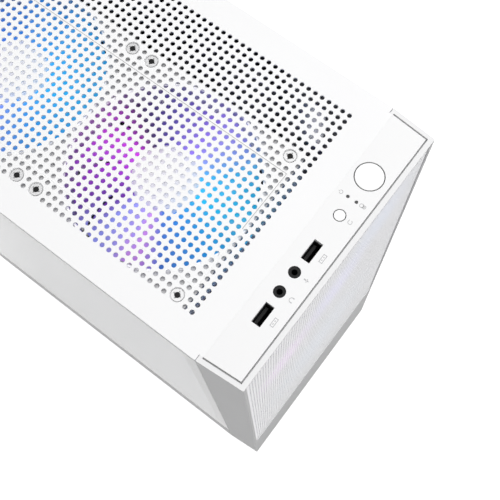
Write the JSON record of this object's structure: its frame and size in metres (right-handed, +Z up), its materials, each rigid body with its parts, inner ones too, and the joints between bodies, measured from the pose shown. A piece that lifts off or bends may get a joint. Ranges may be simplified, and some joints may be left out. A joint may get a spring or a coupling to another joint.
{
  "type": "desktop computer tower",
  "caption": "White desktop computer tower with a perforated top, a mesh front, a glass side, a control strip at the top front edge and lit fans.",
  "frame": {"origin": "on the floor, under the middle of the overall box", "axes": "+Z up, +X to the right as seen from the front, the front faces -Y"},
  "size_m": [0.19, 0.3559, 0.43],
  "materials": {
    "white_steel": "fine satin powder coat",
    "white_plastic": "satin moulded",
    "glass": "clear tempered",
    "light_pipe": "translucent",
    "fan_frame": "satin moulded",
    "fan_rotor": "translucent, lit from inside",
    "black_plastic": "moulded",
    "circuit_board": "solder mask",
    "bare_metal": "plated",
    "aluminium_fins": "machined",
    "black_steel": "satin powder coat",
    "brass": "plain",
    "rubber": "matte",
    "cable": "braided sleeve"
  },
  "bodies": {
    "case": {"chassis_base": "white_steel", "front_plate": "white_steel", "top_panel": "white_steel", "rear_panel": "white_steel", "motherboard_tray": "white_steel", "psu_shroud": "white_steel", "drive_cage": "white_steel", "hard_drive": "bare_metal", "solid_state_drive": "black_steel", "front_bezel": "white_plastic", "io_panel": "white_plastic", "io_board": "circuit_board", "led_light_pipes": "light_pipe", "usb_sockets": "black_plastic", "audio_jacks": "black_plastic", "top_fan_front_frame": "fan_frame", "top_fan_rear_frame": "fan_frame", "front_fan_upper_frame": "fan_frame", "front_fan_lower_frame": "fan_frame", "rear_fan_frame": "fan_frame", "motherboard": "circuit_board", "standoffs": "brass", "rear_ports": "bare_metal", "io_shield": "bare_metal", "vrm_heatsinks": "aluminium_fins", "memory_modules": "black_steel", "cpu_cooler": "aluminium_fins", "cpu_fan_frame": "black_plastic", "graphics_card": "circuit_board", "graphics_cooler": "aluminium_fins", "psu_case": "black_steel", "psu_fan_frame": "black_plastic", "psu_inlet": "black_plastic", "slot_covers": "white_steel", "feet": "white_plastic", "foot_pads": "rubber", "screws": "bare_metal", "power_cable": "cable", "front_io_cable": "cable"},
    "glass_door": {"glass_panel": "glass", "glass_frame": "white_steel", "glass_thumbscrews": "bare_metal"},
    "right_door": {"right_side_panel": "white_steel", "right_thumbscrews": "bare_metal"},
    "front_grille": {"front_mesh": "white_steel", "front_filter": "black_plastic"},
    "dust_filter": {"bottom_filter": "black_plastic"},
    "power_button": {"power_button": "white_plastic"},
    "reset_button": {"reset_button": "white_plastic"},
    "psu_rocker": {"psu_rocker": "black_plastic"},
    "top_fan_front": {"top_fan_front_rotor": "fan_rotor"},
    "top_fan_rear": {"top_fan_rear_rotor": "fan_rotor"},
    "front_fan_upper": {"front_fan_upper_rotor": "fan_rotor"},
    "front_fan_lower": {"front_fan_lower_rotor": "fan_rotor"},
    "rear_fan": {"rear_fan_rotor": "fan_rotor"},
    "cpu_fan": {"cpu_fan_rotor": "black_plastic"},
    "graphics_fan_rear": {"graphics_fan_rear": "black_plastic"},
    "graphics_fan_front": {"graphics_fan_front": "black_plastic"},
    "psu_fan": {"psu_fan_rotor": "black_plastic"}
  },
  "joints": [
    {"name": "power_button_press", "type": "slide", "parent": "case", "child": "power_button", "axis": [0, 0, -1], "range_m": [0, 0.0024], "stiffness_N_per_m": 900, "springref_m": -0.0012},
    {"name": "reset_button_press", "type": "slide", "parent": "case", "child": "reset_button", "axis": [0, 0, -1], "range_m": [0, 0.0012], "stiffness_N_per_m": 900, "springref_m": -0.0008},
    {"name": "psu_rocker_tilt", "type": "hinge", "parent": "case", "child": "psu_rocker", "pos_m": [0.046, 0.166, 0.0512], "axis": [1, 0, 0], "range_deg": [-16, 0]},
    {"name": "top_fan_front_spin", "type": "hinge", "parent": "case", "child": "top_fan_front", "pos_m": [-0.0197, -0.0636, 0.415], "axis": [0, 0, 1], "continuous": true},
    {"name": "top_fan_rear_spin", "type": "hinge", "parent": "case", "child": "top_fan_rear", "pos_m": [-0.0197, 0.0564, 0.415], "axis": [0, 0, 1], "continuous": true},
    {"name": "front_fan_upper_spin", "type": "hinge", "parent": "case", "child": "front_fan_upper", "pos_m": [0, -0.16, 0.348], "axis": [0, 1, 0], "continuous": true},
    {"name": "front_fan_lower_spin", "type": "hinge", "parent": "case", "child": "front_fan_lower", "pos_m": [0, -0.16, 0.2276], "axis": [0, 1, 0], "continuous": true},
    {"name": "rear_fan_spin", "type": "hinge", "parent": "case", "child": "rear_fan", "pos_m": [-0.0255, 0.158, 0.345], "axis": [0, 1, 0], "continuous": true},
    {"name": "cpu_fan_spin", "type": "hinge", "parent": "case", "child": "cpu_fan", "pos_m": [-0.0116, 0.03, 0.337], "axis": [0, 1, 0], "continuous": true},
    {"name": "graphics_fan_rear_spin", "type": "hinge", "parent": "case", "child": "graphics_fan_rear", "pos_m": [0.009, 0.1098, 0.21], "axis": [0, 0, 1], "continuous": true},
    {"name": "graphics_fan_front_spin", "type": "hinge", "parent": "case", "child": "graphics_fan_front", "pos_m": [0.009, -0.0042, 0.21], "axis": [0, 0, 1], "continuous": true},
    {"name": "psu_fan_spin", "type": "hinge", "parent": "case", "child": "psu_fan", "pos_m": [0, 0.101, 0.028], "axis": [0, 0, 1], "continuous": true},
    {"name": "glass_panel_slide", "type": "slide", "parent": "case", "child": "glass_door", "axis": [0, 1, 0], "range_m": [0, 0.018]},
    {"name": "right_panel_slide", "type": "slide", "parent": "case", "child": "right_door", "axis": [0, 1, 0], "range_m": [0, 0.018]},
    {"name": "front_mesh_pull", "type": "slide", "parent": "case", "child": "front_grille", "axis": [0, -1, 0], "range_m": [0, 0.012]},
    {"name": "dust_filter_slide", "type": "slide", "parent": "case", "child": "dust_filter", "axis": [0, 1, 0], "range_m": [0, 0.15]}
  ]
}
